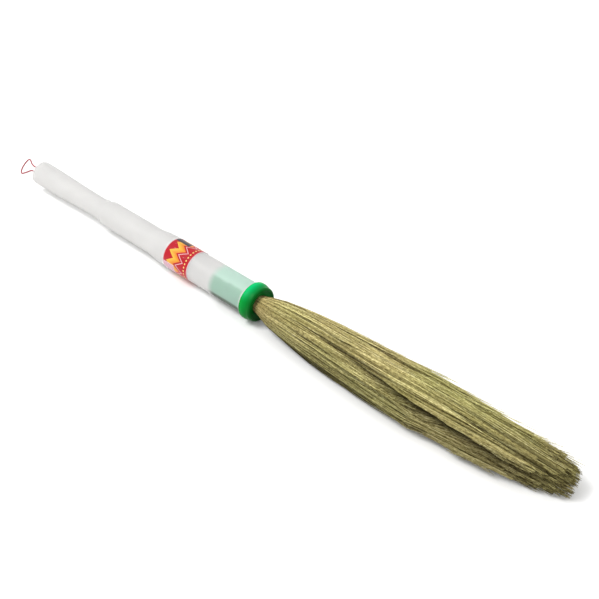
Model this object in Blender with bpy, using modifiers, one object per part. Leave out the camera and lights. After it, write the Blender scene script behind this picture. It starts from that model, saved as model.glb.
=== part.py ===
# Straw broom with a hollow plastic handle, a green ferrule and a red hanging loop.
# Lengths are in metres. The broom lies on the plane z = 0, its straw towards +X.

import math
import random
from collections import namedtuple

import bmesh
import bpy
from mathutils import Euler, Vector

# Clearances and fineness
CLEARANCE = 0.0003
FILM_CLEARANCE = 0.00025
CUT_OVERRUN = 0.002
MERGE_DISTANCE = 0.00001
ROUND_STEPS = 32
SMALL_ROUND_STEPS = 20
HOLE_STEPS = 12
EASE_STEPS = 5
CORNER_STEPS = 3
CURVE_STEPS = 16

# Whole broom, measured from the plane where the handle meets the ferrule's band
HANDLE_REACH = 0.420
STRAW_REACH = 0.452

# Handle tube
TUBE_RADIUS = 0.020
TUBE_SLIM_RADIUS = 0.0175
TUBE_WALL = 0.0016
TUBE_REACH = 0.284
SHOULDER_START = 0.150
SHOULDER_LENGTH = 0.032
NECK_TAPER_LENGTH = 0.009
NECK_LENGTH = 0.007

# Grip end, a flared tube plugged into the neck of the handle tube
GRIP_WALL = 0.0016
GRIP_STEP = 0.0008
GRIP_END_RADIUS = 0.0165
GRIP_SPIGOT_LENGTH = 0.018
GRIP_WAIST_LENGTH = 0.008

# End plug, with the two holes that the cord passes
PLUG_FLANGE = 0.003
PLUG_CORNER = 0.0015
PLUG_WALL = 0.0015
PLUG_SPIGOT_LENGTH = 0.009
HOLE_SPACING = 0.0069
HOLE_LINE_TURN = math.radians(39.0)

# Hanging cord
CORD_RADIUS = 0.0010
CORD_POINT_STEP = 0.0036
LOOP_DROOP = math.radians(13.0)
KNOT_RADIUS = 0.0035
KNOT_STRETCH = 1.7
KNOT_SIDES = 12
KNOT_RINGS = 8
TAIL_SIDES = 8

# Label film round the handle tube
LABEL_START = 0.0945
LABEL_LENGTH = 0.045
LABEL_THICKNESS = 0.00025

# Ferrule: a sleeve inside the tube, a fat band, and a nose with a soft rim and a dished face
BAND_RADIUS = 0.024
BAND_LENGTH = 0.0050
BAND_CORNER = 0.0025
BAND_STEP_LENGTH = 0.0045
NOSE_RADIUS = 0.0222
NOSE_REACH = 0.0170
NOSE_CORNER = 0.003
SLEEVE_WALL = 0.0018
SLEEVE_LENGTH = 0.058
SLEEVE_CORNER = 0.0012
THROAT_RADIUS = 0.0118
THROAT_REACH = 0.0135
THROAT_LENGTH = 0.0065
FUNNEL_LENGTH = 0.008

# Bound butts of the straw
BUTT_INSET = 0.008
BINDING_RADIUS = 0.0006
BINDING_TURNS = 3
BINDING_TURN_POINTS = 24
BINDING_PITCH = 0.0019
BINDING_DEPTH = 0.020
PEG_LENGTH = 0.030
PEG_HEAD_RADIUS = 0.0042
PEG_POINT_RADIUS = 0.0012

# Straw: how far each section lies from the band, how wide and high it is, and how far it leans sideways
ROOT_DEPTH = 0.002
SPREAD_REACH = 0.036
SPREAD_HALF_WIDTH = 0.0195
SPREAD_TOP = 0.0420
SPREAD_BOTTOM = 0.0060
BELLY_REACH = 0.110
BELLY_HALF_WIDTH = 0.0285
BELLY_TOP = 0.0485
BELLY_LEAN = 0.0015
WIDEST_REACH = 0.270
WIDEST_HALF_WIDTH = 0.037
WIDEST_TOP = 0.0495
WIDEST_MIDDLE = 0.0225
WIDEST_LEAN = 0.004
TIP_HALF_WIDTH = 0.031
TIP_TOP = 0.043
TIP_MIDDLE = 0.019
TIP_LEAN = 0.008
FLOOR_SHARE = 0.8
FLOOR_CUT = 0.0009

# Ragged end of the straw
NEAR_SHORTFALL = 0.085
FAR_SHORTFALL = 0.008
TOP_SHORTFALL = 0.010
UNEVEN_SHORTFALL = 0.012
UNEVEN_LIMIT = 0.045

# Layout of the strands: rings round one middle strand, six more in each ring, the last half empty
STRAND_RINGS = 10
CORE_RINGS = 4
SECTORS = 6
STRAND_SIDES = 3
STRAND_SIZE_SHARE = 0.42
WANDER_SHARE = 0.06
WEDGE_STEPS = 5
SEED = 11

# Derived sizes
AXIS_HEIGHT = BAND_RADIUS
BAND_X = (HANDLE_REACH - STRAW_REACH) / 2
NECK_RADIUS = TUBE_SLIM_RADIUS - TUBE_WALL - GRIP_STEP
SPIGOT_RADIUS = NECK_RADIUS - TUBE_WALL - CLEARANCE
GRIP_WAIST_RADIUS = SPIGOT_RADIUS + GRIP_STEP
SLEEVE_RADIUS = TUBE_RADIUS - TUBE_WALL - CLEARANCE
SLEEVE_BORE = SLEEVE_RADIUS - SLEEVE_WALL
BUTT_RADIUS = SLEEVE_BORE - CLEARANCE
BOUND_RADIUS = THROAT_RADIUS - CLEARANCE
BUTT_REACH = SLEEVE_LENGTH - BUTT_INSET
GRIP_END_REACH = HANDLE_REACH - PLUG_FLANGE - CLEARANCE
RING_COUNT = STRAND_RINGS + 0.5
CORE_SHARE = (CORE_RINGS + 0.5) / RING_COUNT

# Colours: base colour, roughness
MILKY = ((0.83, 0.82, 0.78, 1.0), 0.35)
GREEN = ((0.0, 0.36, 0.09, 1.0), 0.3)
RED_FILM = ((0.62, 0.03, 0.04, 1.0), 0.3)
RED_CORD = ((0.55, 0.03, 0.05, 1.0), 0.8)
STRAW = ((0.42, 0.36, 0.15, 1.0), 0.85)
WIRE = ((0.6, 0.6, 0.58, 1.0), 0.35)
WOOD = ((0.48, 0.33, 0.18, 1.0), 0.7)

Section = namedtuple("Section", "reach half_width lean top middle bottom floor_share")


def clear_scene():
    for thing in list(bpy.data.objects):
        bpy.data.objects.remove(thing, do_unlink=True)


def new_collection(name):
    collection = bpy.data.collections.new(name)
    bpy.context.scene.collection.children.link(collection)
    return collection


def finish_of(name, look, metallic=0.0):
    colour, roughness = look
    material = bpy.data.materials.new(name)
    material.use_nodes = True
    shader = material.node_tree.nodes["Principled BSDF"]
    shader.inputs["Base Color"].default_value = colour
    shader.inputs["Roughness"].default_value = roughness
    shader.inputs["Metallic"].default_value = metallic
    return material


def place(thing, collection, parent, material=None):
    collection.objects.link(thing)
    thing.parent = parent
    if material:
        thing.data.materials.append(material)
    return thing


def ease(start, end, steps=EASE_STEPS):
    """Points of a smooth S from start to end, both (radius, reach) pairs, the first left out."""
    points = []
    for step in range(1, steps + 1):
        along = step / steps
        swing = (1 - math.cos(math.pi * along)) / 2
        points.append((start[0] + (end[0] - start[0]) * swing,
                       start[1] + (end[1] - start[1]) * along))
    return points


def arc(centre, radius, start, end, steps=CORNER_STEPS):
    """Points of an arc round centre, a (radius, reach) pair, between two angles in degrees."""
    points = []
    for step in range(steps + 1):
        angle = math.radians(start + (end - start) * step / steps)
        points.append((centre[0] + radius * math.cos(angle), centre[1] + radius * math.sin(angle)))
    return points


def profile_mesh(name, points, closed):
    mesh = bpy.data.meshes.new(name)
    count = len(points)
    edges = [(index, index + 1) for index in range(count - 1)]
    if closed:
        edges.append((count - 1, 0))
    mesh.from_pydata([(radius, 0.0, reach) for radius, reach in points], edges, [])
    return mesh


def turned(name, points, closed, steps=ROUND_STEPS):
    """A profile of (radius, reach) points turned round the broom's axis, which is local Z."""
    thing = bpy.data.objects.new(name, profile_mesh(name, points, closed))
    screw = thing.modifiers.new("turn", "SCREW")
    screw.axis = "Z"
    screw.angle = 2 * math.pi
    screw.steps = steps
    screw.render_steps = steps
    screw.use_merge_vertices = True
    screw.merge_threshold = MERGE_DISTANCE
    return thing


def shell(thing, wall):
    solidify = thing.modifiers.new("wall", "SOLIDIFY")
    solidify.thickness = wall
    solidify.offset = -1.0
    solidify.use_even_offset = True


def cut(thing, cutter, operation="DIFFERENCE"):
    boolean = thing.modifiers.new(operation.lower(), "BOOLEAN")
    boolean.operation = operation
    boolean.object = cutter


def as_guide(thing, guides, parent):
    place(thing, guides, parent)
    thing.hide_render = True
    thing.display_type = "WIRE"
    return thing


def cylinder(name, radius, length, location, steps=SMALL_ROUND_STEPS):
    mesh = bpy.data.meshes.new(name)
    work = bmesh.new()
    bmesh.ops.create_cone(work, cap_ends=True, segments=steps, radius1=radius, radius2=radius, depth=length)
    work.to_mesh(mesh)
    work.free()
    thing = bpy.data.objects.new(name, mesh)
    thing.location = location
    return thing


def smooth_path(points, step):
    """Evenly spaced points of a Catmull-Rom curve through the given points."""
    padded = [2 * points[0] - points[1], *points, 2 * points[-1] - points[-2]]
    fine = []
    for first, second, third, fourth in zip(padded, padded[1:], padded[2:], padded[3:]):
        for index in range(CURVE_STEPS):
            t = index / CURVE_STEPS
            fine.append(0.5 * (2 * second + (third - first) * t
                               + (2 * first - 5 * second + 4 * third - fourth) * t ** 2
                               + (3 * second - first - 3 * third + fourth) * t ** 3))
    fine.append(points[-1])
    total = sum((after - before).length for before, after in zip(fine, fine[1:]))
    count = max(2, round(total / step))
    spacing = total / count
    path = [fine[0]]
    walked = 0.0
    for before, after in zip(fine, fine[1:]):
        leg = (after - before).length
        while len(path) < count and walked + leg >= spacing * len(path):
            path.append(before.lerp(after, (spacing * len(path) - walked) / leg))
        walked += leg
    path.append(fine[-1])
    return path, total


def tube_curve(name, points, radius, resolution, radii=None):
    curve = bpy.data.curves.new(name, "CURVE")
    curve.dimensions = "3D"
    curve.bevel_depth = radius
    curve.bevel_resolution = resolution
    curve.use_fill_caps = True
    spline = curve.splines.new("POLY")
    spline.points.add(len(points) - 1)
    for index, point in enumerate(points):
        spline.points[index].co = (*point, 1.0)
        spline.points[index].radius = radii[index] if radii else 1.0
    return bpy.data.objects.new(name, curve)


# Handle

def handle_tube():
    """One blown tube: wide in front, a soft shoulder, a slim rear part and a drawn-in neck."""
    neck_start = TUBE_REACH - NECK_LENGTH
    taper_start = neck_start - NECK_TAPER_LENGTH
    shoulder_end = SHOULDER_START + SHOULDER_LENGTH
    points = [(TUBE_RADIUS, -CLEARANCE), (TUBE_RADIUS, -SHOULDER_START)]
    points += ease((TUBE_RADIUS, -SHOULDER_START), (TUBE_SLIM_RADIUS, -shoulder_end))
    points.append((TUBE_SLIM_RADIUS, -taper_start))
    points += ease((TUBE_SLIM_RADIUS, -taper_start), (NECK_RADIUS, -neck_start))
    points.append((NECK_RADIUS, -TUBE_REACH))
    tube = turned("handle_tube", points, closed=False)
    shell(tube, TUBE_WALL)
    return tube


def grip_end():
    """The flared end piece, whose spigot sits in the neck of the tube."""
    waist_start = TUBE_REACH + CLEARANCE
    waist_end = waist_start + GRIP_WAIST_LENGTH
    points = [(SPIGOT_RADIUS, -(TUBE_REACH - GRIP_SPIGOT_LENGTH)),
              (SPIGOT_RADIUS, -waist_start),
              (GRIP_WAIST_RADIUS, -waist_start),
              (GRIP_WAIST_RADIUS, -waist_end)]
    points += ease((GRIP_WAIST_RADIUS, -waist_end), (GRIP_END_RADIUS, -GRIP_END_REACH))
    grip = turned("grip_end", points, closed=False)
    shell(grip, GRIP_WALL)
    return grip


def end_plug(guides, parent):
    """A moulded cup that closes the grip, with two holes for the cord."""
    spigot = GRIP_END_RADIUS - GRIP_WALL - CLEARANCE
    bore = spigot - PLUG_WALL
    inside = -(HANDLE_REACH - PLUG_FLANGE)
    lip = inside + PLUG_SPIGOT_LENGTH
    corner = (GRIP_END_RADIUS - PLUG_CORNER, -HANDLE_REACH + PLUG_CORNER)
    points = [(0.0, inside), (bore, inside), (bore, lip), (spigot, lip), (spigot, inside),
              (GRIP_END_RADIUS, inside)]
    points += arc(corner, PLUG_CORNER, 0.0, -90.0)
    points.append((0.0, -HANDLE_REACH))
    plug = turned("end_plug", points, closed=False)
    depth = PLUG_FLANGE + 2 * CUT_OVERRUN
    for number, side in enumerate((-1, 1), start=1):
        middle = side * HOLE_SPACING / 2
        location = (-middle * math.sin(HOLE_LINE_TURN), middle * math.cos(HOLE_LINE_TURN),
                    -HANDLE_REACH + PLUG_FLANGE / 2)
        drill = cylinder(f"cord_hole_drill_{number}", CORD_RADIUS + CLEARANCE, depth, location, HOLE_STEPS)
        cut(plug, as_guide(drill, guides, parent))
    return plug


# Hanging cord

def loop_route():
    """The loop's route in its own plane: along the hole line, then out from the plug."""
    half = HOLE_SPACING / 2
    places = ((half, 0.0), (half, 0.0030), (0.0029, 0.0140), (0.0026, 0.0250), (0.0044, 0.0356),
              (0.0072, 0.0422), (0.0076, 0.0470), (0.0050, 0.0500), (-0.0010, 0.0512),
              (-0.0065, 0.0508), (-0.0112, 0.0490), (-0.0140, 0.0460), (-0.0145, 0.0425),
              (-0.0124, 0.0378), (-0.0096, 0.0334), (-0.0044, 0.0247), (-0.0036, 0.0140),
              (-half, 0.0030), (-half, 0.0))
    return [Vector((0.0, along, -out)) for along, out in places]


def hang_loop():
    """The free loop of cord, each end rounded about the line on which it swings."""
    path, length = smooth_path(loop_route(), CORD_POINT_STEP)
    dome = [math.radians(angle) for angle in (85.0, 60.0, 30.0)]
    start = [path[0] + Vector((0.0, 0.0, CORD_RADIUS * math.sin(angle))) for angle in dome]
    end = [path[-1] + Vector((0.0, 0.0, CORD_RADIUS * math.sin(angle))) for angle in reversed(dome)]
    swell = [math.cos(angle) for angle in dome]
    radii = swell + [1.0] * len(path) + list(reversed(swell))
    loop = tube_curve("hang_loop", start + path + end, CORD_RADIUS, 2, radii)
    loop.location = (0.0, 0.0, -(HANDLE_REACH + CORD_RADIUS + CLEARANCE))
    loop.rotation_euler = Euler((0.0, -LOOP_DROOP, HOLE_LINE_TURN))
    print(f"hanging loop: {length:.4f} m of cord outside the plug")
    return loop


def cord_knot(guides, parent):
    """Both tails of the cord, through their holes, and the knot behind the plug."""
    depth = PLUG_FLANGE + CLEARANCE
    mesh = bpy.data.meshes.new("cord_knot")
    work = bmesh.new()
    bmesh.ops.create_uvsphere(work, u_segments=KNOT_SIDES, v_segments=KNOT_RINGS, radius=KNOT_RADIUS)
    bmesh.ops.scale(work, vec=(1.0, KNOT_STRETCH, 1.0), verts=work.verts)
    work.to_mesh(mesh)
    work.free()
    knot = bpy.data.objects.new("cord_knot", mesh)
    knot.location = (0.0, 0.0, -HANDLE_REACH + depth + KNOT_RADIUS)
    knot.rotation_euler = (0.0, 0.0, HOLE_LINE_TURN)
    for number, side in enumerate((-1, 1), start=1):
        middle = side * HOLE_SPACING / 2
        length = depth + KNOT_RADIUS
        location = (-middle * math.sin(HOLE_LINE_TURN), middle * math.cos(HOLE_LINE_TURN),
                    -HANDLE_REACH + length / 2)
        tail = cylinder(f"cord_tail_{number}", CORD_RADIUS, length, location, TAIL_SIDES)
        cut(knot, as_guide(tail, guides, parent), "UNION")
    return knot


# Label

def label_band():
    inner = TUBE_RADIUS + FILM_CLEARANCE
    outer = inner + LABEL_THICKNESS
    front = -LABEL_START
    back = -(LABEL_START + LABEL_LENGTH)
    return turned("label_band", [(outer, front), (outer, back), (inner, back), (inner, front)], closed=True)


# Ferrule

def ferrule():
    """One moulding: nose with a dished face, fat band, and the sleeve that fits the tube."""
    funnel_end = THROAT_REACH - THROAT_LENGTH - FUNNEL_LENGTH
    step_end = (NOSE_RADIUS, BAND_LENGTH + BAND_STEP_LENGTH)
    outer = arc((NOSE_RADIUS - NOSE_CORNER, NOSE_REACH - NOSE_CORNER), NOSE_CORNER, 90.0, 0.0)
    outer.append(step_end)
    outer += ease(step_end, (BAND_RADIUS, BAND_LENGTH), CORNER_STEPS)
    outer += arc((BAND_RADIUS - BAND_CORNER, BAND_CORNER), BAND_CORNER, 0.0, -90.0)
    outer.append((SLEEVE_RADIUS, 0.0))
    outer += arc((SLEEVE_RADIUS - SLEEVE_CORNER, -SLEEVE_LENGTH + SLEEVE_CORNER), SLEEVE_CORNER, 0.0, -90.0)
    inner = [(SLEEVE_BORE, -SLEEVE_LENGTH), (SLEEVE_BORE, funnel_end)]
    inner += ease((SLEEVE_BORE, funnel_end), (THROAT_RADIUS, THROAT_REACH - THROAT_LENGTH), CORNER_STEPS)
    inner.append((THROAT_RADIUS, THROAT_REACH))
    return turned("ferrule", outer + inner, closed=True)


# Straw

def butt_side(share=1.0, trim=0.0):
    """One side of the bound butts, front to back, at a share of their radius."""
    throat_end = THROAT_REACH - THROAT_LENGTH
    shape = ((BOUND_RADIUS, THROAT_REACH), (BOUND_RADIUS, throat_end - CLEARANCE),
             (BUTT_RADIUS, throat_end - FUNNEL_LENGTH - CLEARANCE), (BUTT_RADIUS, -BUTT_REACH))
    return [(radius * share + trim, reach) for radius, reach in shape]


def slice_profile():
    """Section of an outer slice of the butts, with the groove that the wire lies in."""
    groove_start = -BINDING_DEPTH
    groove_end = groove_start - BINDING_TURNS * BINDING_PITCH - 2 * (BINDING_RADIUS + CLEARANCE)
    groove_radius = BUTT_RADIUS - 2 * BINDING_RADIUS - CLEARANCE
    front, back = butt_side()[:-1], butt_side()[-1:]
    groove = [(BUTT_RADIUS, groove_start), (groove_radius, groove_start),
              (groove_radius, groove_end), (BUTT_RADIUS, groove_end)]
    return front + groove + back + list(reversed(butt_side(CORE_SHARE, CLEARANCE / 2)))


def sections():
    """The straw's cross sections, from inside the throat to the tip."""
    spread_slope = (SPREAD_HALF_WIDTH - BOUND_RADIUS) / (SPREAD_REACH - THROAT_REACH)
    root_radius = BOUND_RADIUS - spread_slope * ROOT_DEPTH
    return [
        Section(THROAT_REACH - ROOT_DEPTH, root_radius, 0.0, AXIS_HEIGHT + root_radius, AXIS_HEIGHT,
                AXIS_HEIGHT - root_radius, 0.0),
        Section(SPREAD_REACH, SPREAD_HALF_WIDTH, 0.0, SPREAD_TOP, AXIS_HEIGHT, SPREAD_BOTTOM, 0.0),
        Section(BELLY_REACH, BELLY_HALF_WIDTH, BELLY_LEAN, BELLY_TOP, AXIS_HEIGHT, -FLOOR_CUT, FLOOR_SHARE),
        Section(WIDEST_REACH, WIDEST_HALF_WIDTH, WIDEST_LEAN, WIDEST_TOP, WIDEST_MIDDLE, -FLOOR_CUT, FLOOR_SHARE),
        Section(STRAW_REACH, TIP_HALF_WIDTH, TIP_LEAN, TIP_TOP, TIP_MIDDLE, -FLOOR_CUT, FLOOR_SHARE),
    ]


def between(first, last, reach):
    along = (reach - first.reach) / (last.reach - first.reach)
    return Section(*(start + (end - start) * along for start, end in zip(first, last)))


def spot(section, across, upward):
    """A point of the unit disc carried into a cross section, flattened where it meets the floor."""
    if upward >= 0.0:
        height = section.middle + (section.top - section.middle) * upward
    else:
        depth = upward / math.sqrt(1 - section.floor_share * across ** 2)
        height = section.middle + (section.middle - section.bottom) * depth
    height = max(height, 0.0)
    return Vector((AXIS_HEIGHT - height, section.lean + section.half_width * across, section.reach))


def strand_places():
    """Ring, angle and middle of every strand on the unit disc."""
    yield 0, 0.0, 0.0, 0.0
    for ring in range(1, STRAND_RINGS + 1):
        skip = 2 if ring == STRAND_RINGS else 1
        for index in range(0, SECTORS * ring, skip):
            angle = 2 * math.pi * (index + 0.5) / (SECTORS * ring)
            radius = ring / RING_COUNT
            yield ring, angle, radius * math.sin(angle), -radius * math.cos(angle)


def shortfall(chance, across, upward):
    """How much a strand ends before the tip: most on the near side, and a little at random."""
    near = NEAR_SHORTFALL * max(0.0, -across) ** 1.5
    far = FAR_SHORTFALL * max(0.0, across) ** 2
    top = TOP_SHORTFALL * max(0.0, upward) ** 2
    uneven = min(UNEVEN_LIMIT, chance.expovariate(1.0) * UNEVEN_SHORTFALL)
    return near + far + top + uneven


def strand(work, chance, ring, bearing, across, upward):
    """One straw of three sides, lofted through the cross sections."""
    stations = sections()
    missing = 0.0 if ring == 0 else shortfall(chance, across, upward)
    tip = between(stations[3], stations[4], STRAW_REACH - missing)
    path = [stations[0], stations[1], stations[2], stations[3], tip]
    if ring <= CORE_RINGS:
        del path[1:3]
    cell = 1 / RING_COUNT
    turn = bearing - math.pi / 2 if ring == STRAND_RINGS else chance.uniform(0.0, 2 * math.pi)
    rows = []
    for section in path:
        steady = section is stations[0] or (section is stations[3] and ring == STRAND_RINGS)
        wander = 0.0 if steady else WANDER_SHARE * cell
        middle_across = across + chance.uniform(-wander, wander)
        middle_upward = upward + chance.uniform(-wander, wander)
        size = STRAND_SIZE_SHARE * cell
        row = []
        for side in range(STRAND_SIDES):
            angle = turn + 2 * math.pi * side / STRAND_SIDES
            row.append(work.verts.new(spot(section, middle_across + size * math.cos(angle),
                                           middle_upward + size * math.sin(angle))))
        rows.append(row)
    for lower, upper in zip(rows, rows[1:]):
        for side in range(STRAND_SIDES):
            after = (side + 1) % STRAND_SIDES
            work.faces.new((lower[side], lower[after], upper[after], upper[side]))
    work.faces.new(list(reversed(rows[0])))
    work.faces.new(rows[-1])


def strands_object(name, places, chance):
    mesh = bpy.data.meshes.new(name)
    work = bmesh.new()
    for ring, bearing, across, upward in places:
        strand(work, chance, ring, bearing, across, upward)
    bmesh.ops.recalc_face_normals(work, faces=work.faces)
    work.to_mesh(mesh)
    work.free()
    return bpy.data.objects.new(name, mesh)


def wedge(name, points, start, end):
    """A closed profile turned only from one angle to another, with both ends kept as faces."""
    mesh = bpy.data.meshes.new(name)
    work = bmesh.new()
    verts = [work.verts.new((radius * math.cos(start), radius * math.sin(start), reach))
             for radius, reach in points]
    face = work.faces.new(verts)
    bmesh.ops.spin(work, geom=[face, *face.edges, *face.verts], axis=(0.0, 0.0, 1.0), cent=(0.0, 0.0, 0.0),
                   angle=end - start, steps=WEDGE_STEPS, use_duplicate=False)
    bmesh.ops.remove_doubles(work, verts=work.verts, dist=MERGE_DISTANCE)
    bmesh.ops.recalc_face_normals(work, faces=work.faces)
    work.to_mesh(mesh)
    work.free()
    return bpy.data.objects.new(name, mesh)


def straw_hanks(guides, parent):
    """The core hank and the six round it, each a slice of the bound butts with its strands."""
    chance = random.Random(SEED)
    places = list(strand_places())
    peg_bore = PEG_HEAD_RADIUS + CLEARANCE
    peg_end = PEG_POINT_RADIUS + CLEARANCE
    core_points = [(0.0, THROAT_REACH), *butt_side(CORE_SHARE, -CLEARANCE / 2),
                   (peg_bore, -BUTT_REACH), (peg_end, -BUTT_REACH + PEG_LENGTH + CLEARANCE),
                   (0.0, -BUTT_REACH + PEG_LENGTH + CLEARANCE)]
    core = turned("straw_hank_core", core_points, closed=False, steps=SMALL_ROUND_STEPS)
    inner_places = [place_ for place_ in places if place_[0] <= CORE_RINGS]
    cut(core, as_guide(strands_object("core_strands", inner_places, chance), guides, parent), "UNION")
    hanks = [core]
    sector = 2 * math.pi / SECTORS
    trim = math.asin(CLEARANCE / 2 / (BOUND_RADIUS * CORE_SHARE))
    for number in range(SECTORS):
        start = number * sector
        hank = wedge(f"straw_hank_{number + 1}", slice_profile(), start + trim, start + sector - trim)
        own = [place_ for place_ in places
               if place_[0] > CORE_RINGS and int(place_[1] / sector) == number]
        strands = strands_object(f"hank_{number + 1}_strands", own, chance)
        cut(hank, as_guide(strands, guides, parent), "UNION")
        hanks.append(hank)
    return hanks


def binding_wire():
    """One wire wound round the butts, in their groove."""
    radius = BUTT_RADIUS - BINDING_RADIUS
    start = -(BINDING_DEPTH + CLEARANCE + BINDING_RADIUS)
    count = BINDING_TURNS * BINDING_TURN_POINTS + 1
    points = []
    for index in range(count):
        angle = 2 * math.pi * index / BINDING_TURN_POINTS
        reach = start - BINDING_PITCH * index / BINDING_TURN_POINTS
        points.append(Vector((radius * math.cos(angle), radius * math.sin(angle), reach)))
    least = min((first - second).length for place_, first in enumerate(points)
                for second in points[place_ + BINDING_TURN_POINTS // 2:])
    print(f"binding wire: least gap to itself {(least - 2 * BINDING_RADIUS) * 1000:.2f} mm")
    return tube_curve("binding_wire", points, BINDING_RADIUS, 1)


def butt_peg():
    """The tapered peg driven into the core, which jams the butts in the sleeve."""
    head = -BUTT_REACH
    points = [(0.0, head + PEG_LENGTH), (PEG_POINT_RADIUS, head + PEG_LENGTH),
              (PEG_HEAD_RADIUS, head), (0.0, head)]
    return turned("butt_peg", points, closed=False, steps=SMALL_ROUND_STEPS)


def main():
    clear_scene()
    parts = new_collection("broom")
    guides = new_collection("broom_guides")

    axis = bpy.data.objects.new("broom_axis", None)
    axis.location = (BAND_X, 0.0, AXIS_HEIGHT)
    axis.rotation_euler = (0.0, math.pi / 2, 0.0)
    parts.objects.link(axis)

    milky = finish_of("milky_plastic", MILKY)
    place(handle_tube(), parts, axis, milky)
    place(grip_end(), parts, axis, finish_of("grip_plastic", MILKY))
    place(end_plug(guides, axis), parts, axis, finish_of("plug_plastic", MILKY))
    place(label_band(), parts, axis, finish_of("label_film", RED_FILM))
    place(ferrule(), parts, axis, finish_of("green_plastic", GREEN))
    place(hang_loop(), parts, axis, finish_of("red_cord", RED_CORD))
    place(cord_knot(guides, axis), parts, axis, finish_of("red_knot", RED_CORD))
    place(binding_wire(), parts, axis, finish_of("binding_wire", WIRE, metallic=1.0))
    place(butt_peg(), parts, axis, finish_of("peg_wood", WOOD))
    for hank in straw_hanks(guides, axis):
        place(hank, parts, axis, finish_of(f"{hank.name}_straw", STRAW))


main()
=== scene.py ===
# Looks of the straw broom: fine plastic parts, thousands of straws, the cord, the light and the camera.
# Lengths are in metres. The broom lies along X on the plane z = 0, with its straw towards +X.

import math
import random
from collections import namedtuple

import bmesh
import bpy
from mathutils import Euler, Matrix, Vector


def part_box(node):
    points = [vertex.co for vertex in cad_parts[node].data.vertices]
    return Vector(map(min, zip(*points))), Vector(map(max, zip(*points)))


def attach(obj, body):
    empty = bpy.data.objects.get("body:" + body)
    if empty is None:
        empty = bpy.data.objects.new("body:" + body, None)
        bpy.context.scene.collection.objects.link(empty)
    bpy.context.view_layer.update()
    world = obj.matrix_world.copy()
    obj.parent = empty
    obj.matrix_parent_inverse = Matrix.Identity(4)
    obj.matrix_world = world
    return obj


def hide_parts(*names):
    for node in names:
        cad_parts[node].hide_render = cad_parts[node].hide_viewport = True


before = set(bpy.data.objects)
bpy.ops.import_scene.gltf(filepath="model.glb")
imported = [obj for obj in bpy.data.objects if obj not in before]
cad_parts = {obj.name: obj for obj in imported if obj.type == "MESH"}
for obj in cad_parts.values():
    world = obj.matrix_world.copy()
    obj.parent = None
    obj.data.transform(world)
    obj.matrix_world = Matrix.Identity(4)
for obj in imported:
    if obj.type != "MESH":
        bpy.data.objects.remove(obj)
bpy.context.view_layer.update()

# Clearances and fineness
CLEARANCE = 0.0003
FILM_CLEARANCE = 0.00025
MERGE_DISTANCE = 0.000005
CUT_OVERRUN = 0.002
ROUND_STEPS = 96
EASE_STEPS = 20
FILLET_STEPS = 5
SHARP_ANGLE = math.radians(40.0)
STRAW_SHARP_ANGLE = 2 * SHARP_ANGLE

# Handle
TUBE_SLIM_RADIUS = 0.0175
TUBE_WALL = 0.0016
SHOULDER_START = 0.150
SHOULDER_LENGTH = 0.032
NECK_TAPER_LENGTH = 0.009
NECK_LENGTH = 0.007
GRIP_WALL = 0.0016
GRIP_STEP = 0.0008
GRIP_SPIGOT_LENGTH = 0.018
GRIP_WAIST_LENGTH = 0.008
EDGE_FILLET = 0.0004

# End plug
PLUG_FLANGE = 0.003
PLUG_CORNER = 0.0015
PLUG_WALL = 0.0015
HOLE_SPACING = 0.0069
HOLE_LINE_TURN = math.radians(39.0)

# Hanging cord, laid of three plies
CORD_RADIUS = 0.0010
CORD_PLIES = 3
CORD_LAY_LENGTH = 0.0048
CORD_PLY_DEPTH_SHARE = 0.10
CORD_POINT_STEP = 0.0004
CORD_SIDES = 18
CORD_DOME_ANGLES = (80.0, 55.0, 28.0)
LOOP_DROOP = math.radians(13.0)

# Ferrule. Its step to the nose is longer, and so softer, than the solid's
BAND_LENGTH = 0.0050
BAND_CORNER = 0.0025
BAND_STEP_LENGTH = 0.0085
NOSE_RADIUS = 0.0222
NOSE_CORNER = 0.003
SLEEVE_WALL = 0.0018
SLEEVE_CORNER = 0.0012
THROAT_RADIUS = 0.0118
THROAT_REACH = 0.0135
THROAT_LENGTH = 0.0065
FUNNEL_LENGTH = 0.008

# Bound butts of the straw
BUTT_INSET = 0.008
BINDING_DEPTH = 0.020
BINDING_LENGTH = 0.0075
BINDING_THICKNESS = 0.0018
PEG_BORE = 0.0049
PEG_POINT_BORE = 0.0036

# Straw sections, as in the solids
SPREAD_REACH = 0.036
SPREAD_HALF_WIDTH = 0.0195
SPREAD_TOP = 0.0420
SPREAD_BOTTOM = 0.0060
BELLY_REACH = 0.110
BELLY_HALF_WIDTH = 0.0285
BELLY_TOP = 0.0485
BELLY_LEAN = 0.0015
WIDEST_REACH = 0.270
WIDEST_HALF_WIDTH = 0.037
WIDEST_MIDDLE = 0.0225
WIDEST_LEAN = 0.004
TIP_HALF_WIDTH = 0.031
TIP_TOP = 0.043
TIP_MIDDLE = 0.019
TIP_LEAN = 0.008
FLOOR_SHARE = 0.8
FLOOR_CUT = 0.0009
FREE_SECTIONS = 4

# Ragged end of the straw
NEAR_SHORTFALL = 0.085
NEAR_SHORTFALL_CURVE = 1.5
FAR_SHORTFALL = 0.008
TOP_SHORTFALL = 0.010
UNEVEN_SHORTFALL = 0.012
UNEVEN_LIMIT = 0.045

# Clumps of straw: rings round one middle clump, six more in each ring
CLUMP_RINGS = 6
CORE_RINGS = 2
SECTORS = 6
OUTER_STRAWS = 36
MIDDLE_STRAWS = 24
CORE_STRAWS = 14
OUTER_RING = 4
CELL = 1 / (CLUMP_RINGS + 0.6)
CORE = "core"
RING_SINK_SHARE = 0.55
CLUMP_SHARE = 0.52
CLUMP_DRIFT_SHARE = 0.42
CLUMP_WAVE = 0.55
CLUMP_SHADE_SHARE = 0.24
CLUMP_SHORTFALL = 0.050

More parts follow.
